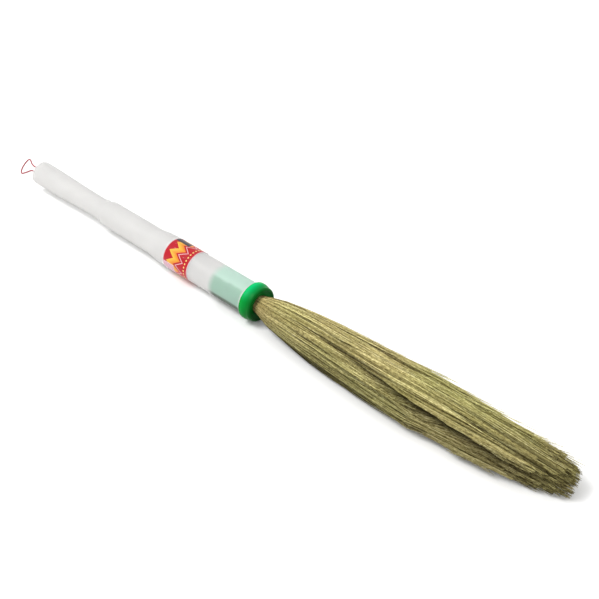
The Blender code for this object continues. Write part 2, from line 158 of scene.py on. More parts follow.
# Single straws
STRAW_SIDES = 3
STRAW_STEPS = 13
STEP_GROWTH = 1.35
STRAW_RADIUS = 0.00040
STRAW_SIZE_RANGE = (0.70, 1.25)
ROOT_SIZE_SHARE = 0.60
TIP_SIZE_SHARE = 0.55
TIP_SLIMMING = (0.08, 0.30)
TIP_SLIMMING_CURVE = 0.6
NEAR_TIP_SLIMMING = 0.20
FAR_TIP_SPREAD = 0.14
STRAW_DRIFT_SHARE = 0.30
STRAW_WAVE = 0.26
WAVE_SIZES = (0.3, 1.0)
WAVE_LENGTHS = (0.5, 1.0)
DRIFT_GROWTH = 0.09
CUT_SLANT = 0.0006
STRIP_EDGE_SHARE = 0.1
STRIP_MAP = "OFBake"

# Long gaps in the straw: bearing from the top at each end, half breadth, depth as a share, reach at each end
Gap = namedtuple("Gap", "first_bearing last_bearing breadth depth_share start end")
GAPS = (Gap(-32.0, -110.0, 11.5, 0.70, 0.14, 0.52), Gap(-68.0, -76.0, 3.5, 0.18, 0.05, 0.27),
        Gap(-26.0, -34.0, 3.0, 0.20, 0.06, 0.24), Gap(4.0, -8.0, 3.0, 0.18, 0.20, 0.48),
        Gap(30.0, 24.0, 2.5, 0.14, 0.06, 0.26), Gap(-6.0, -14.0, 2.5, 0.16, 0.04, 0.17),
        Gap(-16.0, -34.0, 4.5, 0.26, 0.30, 0.49), Gap(26.0, 20.0, 3.0, 0.24, 0.32, 0.50),
        Gap(-52.0, -58.0, 2.5, 0.16, 0.03, 0.15), Gap(12.0, 2.0, 4.0, 0.32, 0.37, 0.62),
        Gap(48.0, 40.0, 4.0, 0.30, 0.39, 0.62), Gap(-58.0, -72.0, 4.0, 0.34, 0.36, 0.60))
GAP_GROWTH = (0.25, 1.5)
GAP_EDGE_POWER = 4
GAP_END_POWER = 0.5
# How strongly the straws in a gap are darkened, as painted shade
GAP_DIM_START = 0.42
GAP_DIM_SHARE = 1.0
BRIDGE_SHARE = 0.02
BRIDGE_GAP_SHARE = 0.7

# Flyaway straws: where they leave the bundle, by angle from the top, and how far they stand off
FLYAWAY_COUNT = 380
FLYAWAY_RADIUS = 0.00027
FLYAWAY_STAND = 0.0105
FLYAWAY_STAND_SHARES = (0.2, 1.0)
FLYAWAY_SHORTFALL = 0.055
NEAR_STAND_SHARE = 0.5
FLYAWAY_START = (0.04, 0.40)
NEAR_FLYAWAY_START = 0.28
FLYAWAY_LENGTH = (0.05, 0.11)
FLYAWAY_SEAT_SHARE = 0.97
FLYAWAY_SHADES = (0.55, 0.95)
FAR_FLYAWAYS = (math.radians(20.0), math.radians(95.0))
NEAR_FLYAWAYS = (math.radians(-122.0), math.radians(-98.0))
SEED = 23

# Most values of a noise lie in this range
NOISE_RANGE = (0.3, 0.7)

# Milky plastic, and how the sleeve shows through it, with a painted reflection on its upper side and painted
# shade along its underside
STREAK_STRETCH = (0.12, 1.0, 1.0)
MILKY_TONES = ((0.78, 0.773, 0.760), (0.84, 0.833, 0.820), (0.76, 0.753, 0.742))
# The sleeve's tint, then the same tint lightened by a painted reflection of the light
SLEEVE_TINT_AND_REFLECTION_TONES = ((0.40, 0.63, 0.51), (0.63, 0.85, 0.75))
# Painted shade along the tube's underside over the sleeve: full below the first height, gone above the second
SLEEVE_UNDERSIDE_SHADE_TONE = (0.05, 0.10, 0.05)
SLEEVE_UNDERSIDE = (0.0190, 0.0222)
SLEEVE_SHOW_SHARE = 0.88
SLEEVE_START_BLUR = 0.009
SLEEVE_END_BLUR = 0.0025
SLEEVE_EDGE_WANDER = 0.0008
SLEEVE_REFLECTION_SIDE = -0.0100
TUBE_RIM_LENGTH = 0.0026
TUBE_RIM_TONE = (0.97, 0.97, 0.95)
PLUG_TONES = ((0.74, 0.72, 0.71), (0.80, 0.785, 0.77))

# Green plastic, with painted shade on its nose and underside and a painted highlight on the top of its band
GREEN_TONES = ((0.3, (0.0, 0.235, 0.030)), (0.55, (0.0, 0.265, 0.036)), (0.8, (0.0, 0.30, 0.048)))
NOSE_AND_UNDERSIDE_SHADE = (0.3, 0.36, 0.25)
LIT_HEIGHT = 0.036
LIT_TONE = (0.0, 0.46, 0.135)

# Straw tones, by shade and by place: painted shade on the underside, a painted highlight on top, darker
# towards the tip, browner root, painted shade in the gaps
STRAW_TONES = ((0.18, (0.050, 0.037, 0.012)), (0.36, (0.200, 0.160, 0.058)),
               (0.54, (0.385, 0.325, 0.130)), (0.74, (0.600, 0.525, 0.245)),
               (0.92, (0.880, 0.790, 0.440)))
SHADE_SHARE = 0.62
FLECK_SHARE = 0.42
STRAW_SPECULAR = 0.16
GREEN_PATCH_TONE = (0.84, 1.0, 0.74)
GREEN_PATCH_SHARE = 0.45
# Painted shade on the straws' underside, and on the green plastic's up to the same height
UNDERSIDE_HEIGHT = 0.032
UNDERSIDE_LOW = 0.008
UNDERSIDE_TONE = (0.10, 0.093, 0.035)
UNDERSIDE_END_SHARE = 0.55
TOP_HIGHLIGHT_HEIGHT = 0.030
TOP_HIGHLIGHT_TONE = (1.06, 1.06, 1.01)
TIP_TONE = (0.80, 0.80, 0.72)
ROOT_TONE = (1.0, 0.86, 0.80)
ROOT_TONE_SHARE = 0.50
GAP_SHADE_TONE = (0.012, 0.006, 0.002)

# Cord, wire and peg
CORD_TONES = ((0.25, (0.20, 0.0, 0.010)), (0.55, (0.28, 0.001, 0.018)), (0.85, (0.38, 0.006, 0.034)))
CORD_WORN_TONE = (0.50, 0.05, 0.07)
WIRE_TONES = ((0.34, 0.33, 0.31), (0.62, 0.61, 0.59))
PEG_TONES = ((0.3, (0.30, 0.17, 0.07)), (0.55, (0.50, 0.33, 0.17)), (0.8, (0.62, 0.46, 0.27)))

# Label print: turns are shares of a full turn from the top, all other spans are shares of its length
LABEL_TEETH = 9
LABEL_TOOTH_SHARE = 0.5
LABEL_FLAME_SPAN = (0.14, 0.42)
LABEL_STRIPE_SPAN = (0.50, 0.54)
LABEL_DOTS = 28
LABEL_DOT_PITCH = 0.0044
LABEL_DOT_RADIUS = 0.0011
LABEL_DOT_ROW_SHARE = 0.86
LABEL_PANEL_TURNS = (-0.42, -0.24)
LABEL_PANEL_END = 0.46
LABEL_LINES = 60
LABEL_LINE_SHARE = 0.6
LABEL_BAR_TURNS = (0.02, 0.09)
LABEL_BAR_END = 0.55
LABEL_RIM_START = 0.475
LABEL_RED_TONES = ((0.30, 0.001, 0.008), (0.46, 0.003, 0.014))
LABEL_FLAME_TONES = ((0.0, (0.70, 0.44, 0.05)), (1.0, (0.60, 0.16, 0.012)))
LABEL_STRIPE_TONE = (0.62, 0.36, 0.37)
LABEL_DOT_TONE = (0.72, 0.52, 0.16)
LABEL_PANEL_TONES = ((0.60, 0.46, 0.52), (0.44, 0.12, 0.20))
LABEL_BAR_TONE = (0.035, 0.030, 0.035)
LABEL_RIM_TONE = (0.66, 0.52, 0.53)
LABEL_RUBBED_TONE = (0.62, 0.54, 0.52)

# Light and stage
FLOOR_HALF_SIZE = 6.0
FLOOR_TONES = ((0.90, 0.90, 0.895), (0.94, 0.94, 0.935))
SOFTBOX_PLACE = (-1.30, -1.60, 3.20)
SOFTBOX_SIDE = 1.4
SOFTBOX_POWER = 86.0
DOME_STRENGTH = 1.0

# Camera
CAMERA_PLACE = (0.8215, -0.7842, 0.8951)
CAMERA_HEADING = math.radians(134.03)
CAMERA_PITCH = math.radians(-37.24)
CAMERA_LENS_MM = 72.1

# Sizes read from the frame
tube_low, tube_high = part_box("handle_tube")
ferrule_low, ferrule_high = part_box("ferrule")
plug_low, plug_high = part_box("end_plug")
label_low, label_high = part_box("label_band")
HANKS = [f"straw_hank_{number + 1}" for number in range(SECTORS)]
BAND_X = tube_high.x + CLEARANCE
AXIS_HEIGHT = (ferrule_low.z + ferrule_high.z) / 2
TUBE_RADIUS = (tube_high.z - tube_low.z) / 2
TUBE_REACH = BAND_X - tube_low.x
BAND_RADIUS = (ferrule_high.z - ferrule_low.z) / 2
SLEEVE_LENGTH = BAND_X - ferrule_low.x
NOSE_REACH = ferrule_high.x - BAND_X
HANDLE_REACH = BAND_X - plug_low.x
GRIP_END_RADIUS = (plug_high.z - plug_low.z) / 2
PLUG_DEPTH = plug_high.x - plug_low.x
STRAW_REACH = max(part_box(name)[1].x for name in [*HANKS, "straw_hank_core"]) - BAND_X
STRAW_NEAR_SIDE = min(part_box(name)[0].y for name in HANKS)
STRAW_FAR_SIDE = max(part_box(name)[1].y for name in HANKS)
STRAW_TOP = max(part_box(name)[1].z for name in HANKS)

# Sizes that follow
NECK_RADIUS = TUBE_SLIM_RADIUS - TUBE_WALL - GRIP_STEP
SPIGOT_RADIUS = NECK_RADIUS - TUBE_WALL - CLEARANCE
GRIP_WAIST_RADIUS = SPIGOT_RADIUS + GRIP_STEP
GRIP_END_REACH = HANDLE_REACH - PLUG_FLANGE - CLEARANCE
SLEEVE_RADIUS = TUBE_RADIUS - TUBE_WALL - CLEARANCE
SLEEVE_BORE = SLEEVE_RADIUS - SLEEVE_WALL
BUTT_RADIUS = SLEEVE_BORE - CLEARANCE
BOUND_RADIUS = THROAT_RADIUS - CLEARANCE
BUTT_REACH = SLEEVE_LENGTH - BUTT_INSET

Section = namedtuple("Section", "reach half_width lean top middle bottom floor_share bore")

# Turns local Z, along which the parts are drawn, to the broom's axis
TO_AXIS = Matrix.Translation((BAND_X, 0.0, AXIS_HEIGHT)) @ Matrix.Rotation(math.pi / 2, 4, "Y")

# The Mix node's colour sockets
MIX_A = 6
MIX_B = 7
MIX_RESULT = 2


# Node trees

class Tree:
    """A material's nodes, added and linked by short calls."""

    def __init__(self, name):
        self.material = bpy.data.materials.new(name)
        self.material.use_nodes = True
        self.nodes = self.material.node_tree.nodes
        self.links = self.material.node_tree.links
        self.shader = self.nodes["Principled BSDF"]

    def feed(self, socket, source):
        """Links a socket or a node to the socket, or sets a plain value on it."""
        if isinstance(source, bpy.types.Node):
            source = source.outputs[0]
        if isinstance(source, bpy.types.NodeSocket):
            self.links.new(source, socket)
        elif socket.type == "RGBA" and len(source) == 3:
            socket.default_value = (*source, 1.0)
        else:
            socket.default_value = source

    def add(self, kind, *sources, **settings):
        node = self.nodes.new(kind)
        for key, value in settings.items():
            setattr(node, key, value)
        for socket, source in zip(node.inputs, sources):
            self.feed(socket, source)
        return node

    def set(self, **values):
        for key, value in values.items():
            self.feed(self.shader.inputs[key.replace("_", " ")], value)

    def math(self, operation, *sources):
        return self.add("ShaderNodeMath", *sources, operation=operation)

    def coords(self, stretch=(1.0, 1.0, 1.0)):
        """The piece's own coordinates, which are the frame's at rest."""
        node = self.add("ShaderNodeMapping", self.add("ShaderNodeTexCoord").outputs["Object"])
        node.inputs["Scale"].default_value = stretch
        return node

    def noise(self, scale, stretch=(1.0, 1.0, 1.0), detail=3.0, roughness=0.55):
        node = self.add("ShaderNodeTexNoise", self.coords(stretch))
        node.inputs["Scale"].default_value = scale
        node.inputs["Detail"].default_value = detail
        node.inputs["Roughness"].default_value = roughness
        return node.outputs["Fac"]

    def ramp(self, source, *stops):
        node = self.add("ShaderNodeValToRGB", source)
        elements = node.color_ramp.elements
        while len(elements) < len(stops):
            elements.new(1.0)
        for element, (position, colour) in zip(elements, stops):
            element.position = position
            element.color = (*colour, 1.0)
        return node.outputs["Color"]

    def span(self, source, from_low, from_high, low, high):
        return self.add("ShaderNodeMapRange", source, from_low, from_high, low, high)

    def mix(self, factor, first, second, blend="MIX"):
        node = self.add("ShaderNodeMix", factor, data_type="RGBA", blend_type=blend)
        self.feed(node.inputs[MIX_A], first)
        self.feed(node.inputs[MIX_B], second)
        return node.outputs[MIX_RESULT]

    def bump(self, height, distance, strength=1.0):
        node = self.add("ShaderNodeBump")
        node.inputs["Strength"].default_value = strength
        node.inputs["Distance"].default_value = distance
        self.feed(node.inputs["Height"], height)
        self.feed(self.shader.inputs["Normal"], node)


# Turned parts

def ease(start, end):
    """Points of a smooth S from start to end, both (radius, reach) pairs, the first left out."""
    points = []
    for step in range(1, EASE_STEPS + 1):
        along = step / EASE_STEPS
        swing = (1 - math.cos(math.pi * along)) / 2
        points.append((start[0] + (end[0] - start[0]) * swing,
                       start[1] + (end[1] - start[1]) * along))
    return points


def arc(centre, radius, start, end, steps=2 * FILLET_STEPS):
    """Points of an arc round centre, a (radius, reach) pair, between two angles in degrees."""
    points = []
    for step in range(steps + 1):
        angle = math.radians(start + (end - start) * step / steps)
        points.append((centre[0] + radius * math.cos(angle), centre[1] + radius * math.sin(angle)))
    return points


def fillet(before, corner, after, radius):
    """An arc that rounds the corner between its two neighbours."""
    here = Vector(corner)
    back = (Vector(before) - here).normalized()
    on = (Vector(after) - here).normalized()
    half = back.angle(on) / 2
    middle = here + (back + on).normalized() * radius / math.sin(half)
    first = here + back * radius / math.tan(half) - middle
    last = here + on * radius / math.tan(half) - middle
    return [tuple(middle + radius * first.slerp(last, step / FILLET_STEPS))
            for step in range(FILLET_STEPS + 1)]


def turned(name, profile, steps=ROUND_STEPS):
    """A closed profile of (radius, reach) points turned round the broom's axis."""
    work = bmesh.new()
    verts = [work.verts.new((radius, 0.0, reach)) for radius, reach in profile]
    edges = [work.edges.new((verts[index - 1], vert)) for index, vert in enumerate(verts)]
    bmesh.ops.spin(work, geom=verts + edges, axis=(0.0, 0.0, 1.0), cent=(0.0, 0.0, 0.0),
                   angle=2 * math.pi, steps=steps, use_merge=True)
    bmesh.ops.remove_doubles(work, verts=work.verts, dist=MERGE_DISTANCE)
    bmesh.ops.recalc_face_normals(work, faces=work.faces)
    return finished_mesh(name, work)


def finished_mesh(name, work, matrix=TO_AXIS):
    mesh = bpy.data.meshes.new(name)
    work.to_mesh(mesh)
    work.free()
    mesh.transform(matrix)
    mesh.shade_smooth()
    mesh.set_sharp_from_angle(angle=SHARP_ANGLE)
    thing = bpy.data.objects.new(name, mesh)
    bpy.context.scene.collection.objects.link(thing)
    return thing


def walled(outer, wall):
    """A closed profile: the outer line, and the same line moved in by the wall, with eased rims."""
    inner = [(radius - wall, reach) for radius, reach in reversed(outer)]

    def rim(before, first, second, after):
        return fillet(before, first, second, EDGE_FILLET) + fillet(first, second, after, EDGE_FILLET)

    return (outer[1:-1] + rim(outer[-2], outer[-1], inner[0], inner[1])
            + inner[1:-1] + rim(inner[-2], inner[-1], outer[0], outer[1]))


def handle_tube():
    neck_start = TUBE_REACH - NECK_LENGTH
    taper_start = neck_start - NECK_TAPER_LENGTH
    shoulder_end = SHOULDER_START + SHOULDER_LENGTH
    outer = [(TUBE_RADIUS, -CLEARANCE), (TUBE_RADIUS, -SHOULDER_START)]
    outer += ease((TUBE_RADIUS, -SHOULDER_START), (TUBE_SLIM_RADIUS, -shoulder_end))
    outer.append((TUBE_SLIM_RADIUS, -taper_start))
    outer += ease((TUBE_SLIM_RADIUS, -taper_start), (NECK_RADIUS, -neck_start))
    outer.append((NECK_RADIUS, -TUBE_REACH))
    return turned("handle_tube_fine", walled(outer, TUBE_WALL))


def grip_end():
    waist_start = TUBE_REACH + CLEARANCE
    waist_end = waist_start + GRIP_WAIST_LENGTH
    outer = [(SPIGOT_RADIUS, -(TUBE_REACH - GRIP_SPIGOT_LENGTH)),
             (SPIGOT_RADIUS, -waist_start),
             (GRIP_WAIST_RADIUS, -waist_start),
             (GRIP_WAIST_RADIUS, -waist_end)]
    outer += ease((GRIP_WAIST_RADIUS, -waist_end), (GRIP_END_RADIUS, -GRIP_END_REACH))
    return turned("grip_end_fine", walled(outer, GRIP_WALL))


def end_plug():
    spigot = GRIP_END_RADIUS - GRIP_WALL - CLEARANCE
    bore = spigot - PLUG_WALL
    inside = -(HANDLE_REACH - PLUG_FLANGE)
    lip = inside - PLUG_FLANGE + PLUG_DEPTH
    corner = (GRIP_END_RADIUS - PLUG_CORNER, -HANDLE_REACH + PLUG_CORNER)
    profile = [(0.0, inside), (bore, inside)]
    profile += fillet((bore, inside), (bore, lip), (spigot, lip), EDGE_FILLET)
    profile += fillet((bore, lip), (spigot, lip), (spigot, inside), EDGE_FILLET)
    profile += [(spigot, inside), (GRIP_END_RADIUS, inside)]
    profile += arc(corner, PLUG_CORNER, 0.0, -90.0)
    profile.append((0.0, -HANDLE_REACH))
    plug = turned("end_plug_fine", profile)
    for side in (-1, 1):
        work = bmesh.new()
        drill = CORD_RADIUS + CLEARANCE
        bmesh.ops.create_cone(work, cap_ends=True, segments=ROUND_STEPS // 2,
                              radius1=drill, radius2=drill, depth=PLUG_FLANGE + 2 * CUT_OVERRUN)
        bore_place = loop_plane() @ Vector((0.0, side * HOLE_SPACING / 2, PLUG_FLANGE / 2))
        bore_matrix = Matrix.Translation(bore_place) @ TO_AXIS.to_3x3().to_4x4()
        cutter = finished_mesh("cord_hole_drill", work, bore_matrix)
        cut = plug.modifiers.new("hole", "BOOLEAN")
        cut.object = cutter
        apply_modifiers(plug)
        bpy.data.objects.remove(cutter, do_unlink=True)
    plug.data.shade_smooth()
    plug.data.set_sharp_from_angle(angle=SHARP_ANGLE)
    return plug


def apply_modifiers(thing):
    bpy.context.view_layer.update()
    changed = thing.evaluated_get(bpy.context.evaluated_depsgraph_get())
    thing.data = bpy.data.meshes.new_from_object(changed)
    thing.modifiers.clear()


def label_band():
    back, front = label_low.x - BAND_X, label_high.x - BAND_X
    outer = (label_high.z - label_low.z) / 2
    inner = TUBE_RADIUS + FILM_CLEARANCE
    return turned("label_band_fine", [(outer, front), (outer, back), (inner, back), (inner, front)])


def ferrule():
    funnel_end = THROAT_REACH - THROAT_LENGTH - FUNNEL_LENGTH
    step_end = (NOSE_RADIUS, BAND_LENGTH + BAND_STEP_LENGTH)
    outer = arc((NOSE_RADIUS - NOSE_CORNER, NOSE_REACH - NOSE_CORNER), NOSE_CORNER, 90.0, 0.0)
    outer.append(step_end)
    outer += ease(step_end, (BAND_RADIUS, BAND_LENGTH))
    outer += arc((BAND_RADIUS - BAND_CORNER, BAND_CORNER), BAND_CORNER, 0.0, -90.0)
    outer.append((SLEEVE_RADIUS, 0.0))
    outer += arc((SLEEVE_RADIUS - SLEEVE_CORNER, -SLEEVE_LENGTH + SLEEVE_CORNER), SLEEVE_CORNER, 0.0, -90.0)
    inner = [(SLEEVE_BORE, -SLEEVE_LENGTH), (SLEEVE_BORE, funnel_end)]
    inner += ease((SLEEVE_BORE, funnel_end), (THROAT_RADIUS, THROAT_REACH - THROAT_LENGTH))
    inner.append((THROAT_RADIUS, THROAT_REACH))
    inner += ease((THROAT_RADIUS, THROAT_REACH), (NOSE_RADIUS - NOSE_CORNER, NOSE_REACH))[:-1]
    return turned("ferrule_fine", outer + inner)


# Cord

def loop_plane():
    """Carries (0, along the hole line, inward) from the plug's outer face to the frame."""
    turn = Matrix.Rotation(HOLE_LINE_TURN, 4, "Z")
    return TO_AXIS @ Matrix.Translation((0.0, 0.0, -HANDLE_REACH)) @ turn


def smooth_path(points, step):
    """Evenly spaced points of a Catmull-Rom curve through the given points."""
    padded = [2 * points[0] - points[1], *points, 2 * points[-1] - points[-2]]
    fine = []
    for first, second, third, fourth in zip(padded, padded[1:], padded[2:], padded[3:]):
        for index in range(EASE_STEPS):
            t = index / EASE_STEPS
            fine.append(0.5 * (2 * second + (third - first) * t
                               + (2 * first - 5 * second + 4 * third - fourth) * t ** 2
                               + (3 * second - first - 3 * third + fourth) * t ** 3))
    fine.append(points[-1])
    total = sum((after - before).length for before, after in zip(fine, fine[1:]))
    spacing = total / round(total / step)
    path, walked = [fine[0]], 0.0
    for before, after in zip(fine, fine[1:]):
        leg = (after - before).length
        while walked + leg >= spacing * len(path) - MERGE_DISTANCE and len(path) < round(total / spacing):
            path.append(before.lerp(after, min(1.0, (spacing * len(path) - walked) / leg)))
        walked += leg
    path.append(fine[-1])
    return path, total


def laid_cord(name, path):
    """A cord of three plies: a tube whose lobed section turns along the path, with domed ends."""
    spacing = (path[1] - path[0]).length
    dome = [math.radians(angle) for angle in CORD_DOME_ANGLES]
    first, last = (path[0] - path[1]).normalized(), (path[-1] - path[-2]).normalized()
    rings = [(path[0] + first * CORD_RADIUS * math.sin(angle), math.cos(angle)) for angle in dome]
    rings += [(point, 1.0) for point in path]
    rings += [(path[-1] + last * CORD_RADIUS * math.sin(angle), math.cos(angle)) for angle in reversed(dome)]
    work = bmesh.new()
    side_way = first.orthogonal().normalized()
    rows = []
    for index, (centre, swell) in enumerate(rings):
        ahead = (rings[min(index + 1, len(rings) - 1)][0] - rings[max(index - 1, 0)][0]).normalized()
        side_way = (side_way - ahead * side_way.dot(ahead)).normalized()
        up_way = ahead.cross(side_way)
        twist = 2 * math.pi * index * spacing / CORD_LAY_LENGTH
        row = []
        for side in range(CORD_SIDES):
            angle = 2 * math.pi * side / CORD_SIDES
            lobe = abs(math.cos(CORD_PLIES / 2 * (angle - twist)))
            radius = CORD_RADIUS * swell * (1 - CORD_PLY_DEPTH_SHARE * (1 - lobe))
            outward = math.cos(angle) * side_way + math.sin(angle) * up_way
            row.append(work.verts.new(centre + radius * outward))
        rows.append(row)
    for lower, upper in zip(rows, rows[1:]):
        for side in range(CORD_SIDES):
            after = (side + 1) % CORD_SIDES
            work.faces.new((lower[side], lower[after], upper[after], upper[side]))
    work.faces.new(reversed(rows[0]))
    work.faces.new(rows[-1])
    return finished_mesh(name, work, Matrix.Identity(4))


def hang_loop():
    """The free loop, by the solid's own route, in the plane that hangs from the hole line."""
    half = HOLE_SPACING / 2
    places = ((half, 0.0), (half, 0.0030), (0.0029, 0.0140), (0.0026, 0.0250), (0.0044, 0.0356),
              (0.0072, 0.0422), (0.0076, 0.0470), (0.0050, 0.0500), (-0.0010, 0.0512),
              (-0.0065, 0.0508), (-0.0112, 0.0490), (-0.0140, 0.0460), (-0.0145, 0.0425),
              (-0.0124, 0.0378), (-0.0096, 0.0334), (-0.0044, 0.0247), (-0.0036, 0.0140),
              (-half, 0.0030), (-half, 0.0))
    droop = (Matrix.Translation((0.0, 0.0, -(HANDLE_REACH + CORD_RADIUS + CLEARANCE)))
             @ Euler((0.0, -LOOP_DROOP, HOLE_LINE_TURN)).to_matrix().to_4x4())
    route = [TO_AXIS @ droop @ Vector((0.0, along, -out)) for along, out in places]
    path, length = smooth_path(route, CORD_POINT_STEP)
    loop = laid_cord("hang_loop_cord", path)
    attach(loop, "hanging_loop")
    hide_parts("hang_loop")
    tuple(path[0])
    [tuple(point) for point in path]
    return loop


def cord_knot():
    """Both tails, from the loop's ends through the plug, and the knot that they make behind it."""
    half = HOLE_SPACING / 2
    outside = -(CORD_RADIUS + CLEARANCE)
    places = ((0.0, half, outside), (0.0, half, 0.0020), (0.0, half, 0.0042),
              (0.0012, 0.0010, 0.0058), (0.0022, -0.0020, 0.0070), (0.0004, -0.0044, 0.0084),
              (-0.0020, -0.0022, 0.0094), (-0.0016, 0.0016, 0.0082), (0.0006, 0.0040, 0.0090),
              (0.0022, 0.0020, 0.0100), (0.0006, -0.0014, 0.0100), (-0.0022, -0.0026, 0.0076),
              (-0.0010, -half, 0.0052), (0.0, -half, 0.0036), (0.0, -half, 0.0018), (0.0, -half, outside))
    path, _ = smooth_path([loop_plane() @ Vector(place) for place in places], CORD_POINT_STEP)
    return laid_cord("cord_knot_tied", path)


# Straw

def sections():
    """The straw's cross sections from the butts to the tip, each with the bore that the peg needs."""
    binding_end = BINDING_DEPTH + BINDING_LENGTH
    bound_waist = BUTT_RADIUS - BINDING_THICKNESS
    funnel_end = THROAT_REACH - THROAT_LENGTH - FUNNEL_LENGTH
    round_ones = ((-BUTT_REACH, BUTT_RADIUS, PEG_BORE),
                  (-binding_end - BINDING_THICKNESS, BUTT_RADIUS, PEG_POINT_BORE),
                  (-binding_end, bound_waist, PEG_POINT_BORE), (-BINDING_DEPTH, bound_waist, 0.0),
                  (-BINDING_DEPTH + BINDING_THICKNESS, BUTT_RADIUS, 0.0), (funnel_end, BUTT_RADIUS, 0.0),
                  (THROAT_REACH - THROAT_LENGTH, BOUND_RADIUS, 0.0), (THROAT_REACH, BOUND_RADIUS, 0.0))
    found = [Section(reach, radius, 0.0, AXIS_HEIGHT + radius, AXIS_HEIGHT, AXIS_HEIGHT - radius, 0.0, bore)
             for reach, radius, bore in round_ones]
    found += [
        Section(SPREAD_REACH, SPREAD_HALF_WIDTH, 0.0, SPREAD_TOP, AXIS_HEIGHT, SPREAD_BOTTOM, 0.0, 0.0),
        Section(BELLY_REACH, BELLY_HALF_WIDTH, BELLY_LEAN, BELLY_TOP, AXIS_HEIGHT, -FLOOR_CUT,
                FLOOR_SHARE, 0.0),
        Section(WIDEST_REACH, WIDEST_HALF_WIDTH, WIDEST_LEAN, STRAW_TOP, WIDEST_MIDDLE, -FLOOR_CUT,
                FLOOR_SHARE, 0.0),
        Section(STRAW_REACH, TIP_HALF_WIDTH, TIP_LEAN, TIP_TOP, TIP_MIDDLE, -FLOOR_CUT,
                FLOOR_SHARE, 0.0),
    ]
    return found


def slopes(stations):
    """Slope of each size at each station, level at its peaks, so that no size overshoots between them."""
    rates = [[(after - before) / (later.reach - sooner.reach) for before, after in zip(sooner, later)]
             for sooner, later in zip(stations, stations[1:])]
    inner = [[2 * left * right / (left + right) if left * right > 0 else 0.0 for left, right in zip(*pair)]
             for pair in zip(rates, rates[1:])]
    return [rates[0], *inner, rates[-1]]


def section_at(stations, tilts, reach):
    """The cross section at any reach, on a smooth curve through the stations."""
    index = max(i for i, station in enumerate(stations[:-1]) if station.reach <= reach or i == 0)
    first, last = stations[index], stations[index + 1]
    gap = last.reach - first.reach
    t = (reach - first.reach) / gap
    weights = (2 * t ** 3 - 3 * t ** 2 + 1, (t ** 3 - 2 * t ** 2 + t) * gap,
               3 * t ** 2 - 2 * t ** 3, (t ** 3 - t ** 2) * gap)
    return Section(*(sum(weight * value for weight, value in zip(weights, values))
                     for values in zip(first, tilts[index], last, tilts[index + 1])))


def spot(section, across, upward):
    """Y and Z of a point of the unit disc in a cross section, flattened where it meets the floor."""
    if section.bore > 0.0:
        out = math.hypot(across, upward)
        bore_share = section.bore / section.half_width
        spread = (bore_share + (1 - bore_share) * out) / max(out, MERGE_DISTANCE)
        across, upward = across * spread, upward * spread
    if upward >= 0.0:
        height = section.middle + (section.top - section.middle) * upward
    else:
        depth = upward / math.sqrt(1 - section.floor_share * across ** 2)
        height = section.middle + (section.middle - section.bottom) * depth
    return section.lean + section.half_width * across, height


def shortfall(chance, across, upward):
    """How much a straw ends before the tip: most on the near side, and a little at random."""
    near = NEAR_SHORTFALL * max(0.0, -across) ** NEAR_SHORTFALL_CURVE
    far = FAR_SHORTFALL * max(0.0, across) ** 2
    top = TOP_SHORTFALL * max(0.0, upward) ** 2
    return near + far + top + min(UNEVEN_LIMIT, chance.expovariate(1.0) * UNEVEN_SHORTFALL)


class Wave:
    """A slow sideways drift along the straw, which starts at the throat."""

    def __init__(self, chance, share, longest):
        self.size = share * chance.uniform(*WAVE_SIZES)
        self.length = longest * chance.uniform(*WAVE_LENGTHS)
        self.start = chance.uniform(0.0, 2 * math.pi)
        self.bearing = chance.uniform(0.0, 2 * math.pi)

    def at(self, reach):
        grown = min(1.0, max(0.0, (reach - THROAT_REACH) / DRIFT_GROWTH)) ** 2
        swing = self.size * grown * math.sin(self.start + 2 * math.pi * reach / self.length)
        return swing * math.cos(self.bearing), swing * math.sin(self.bearing)


def clumps(chance):
    """Sector, ring and disc place of each clump, with its own drift, shade and shortfall."""
    for ring in range(CLUMP_RINGS + 1):
        for index in range(max(1, SECTORS * ring)):
            angle = 2 * math.pi * (index + 0.5) / max(1, SECTORS * ring)
            radius = (ring - RING_SINK_SHARE * chance.random() * (ring > 0)) * CELL
            sector = CORE if ring <= CORE_RINGS else int(angle / (2 * math.pi) * SECTORS)
            yield (sector, ring, (radius * math.sin(angle), -radius * math.cos(angle)),
                   Wave(chance, CLUMP_DRIFT_SHARE * CELL, CLUMP_WAVE), chance.random(),
                   CLUMP_SHORTFALL * chance.random() ** 2)


def straw_stations(end_reach):
    """Reaches at which a straw has a ring: those of the butts and throat, then steps that grow."""
    fixed = [station.reach for station in sections()[:-FREE_SECTIONS]]
    return fixed + [THROAT_REACH + (end_reach - THROAT_REACH) * (step / STRAW_STEPS) ** STEP_GROWTH
                    for step in range(1, STRAW_STEPS + 1)]


def gap_at(place, reach):
    """How deep in a gap a point of the disc lies, and how much painted shade darkens it there, both from 0 to
    1.
    """
    bearing = math.degrees(math.atan2(place.x, place.y))
    depth = dim = 0.0
    for gap in GAPS:
        along = (reach - gap.start) / (gap.end - gap.start)
        if 0.0 < along < 1.0:
            off = bearing - gap.first_bearing - (gap.last_bearing - gap.first_bearing) * along
            off /= gap.breadth * (GAP_GROWTH[0] + GAP_GROWTH[1] * along)
            near = math.exp(-off ** GAP_EDGE_POWER) * math.sin(math.pi * along) ** GAP_END_POWER
            depth = max(depth, near * gap.depth_share)
            dim = max(dim, math.sqrt(near) * min(1.0, GAP_DIM_START + gap.depth_share))
    return depth, dim


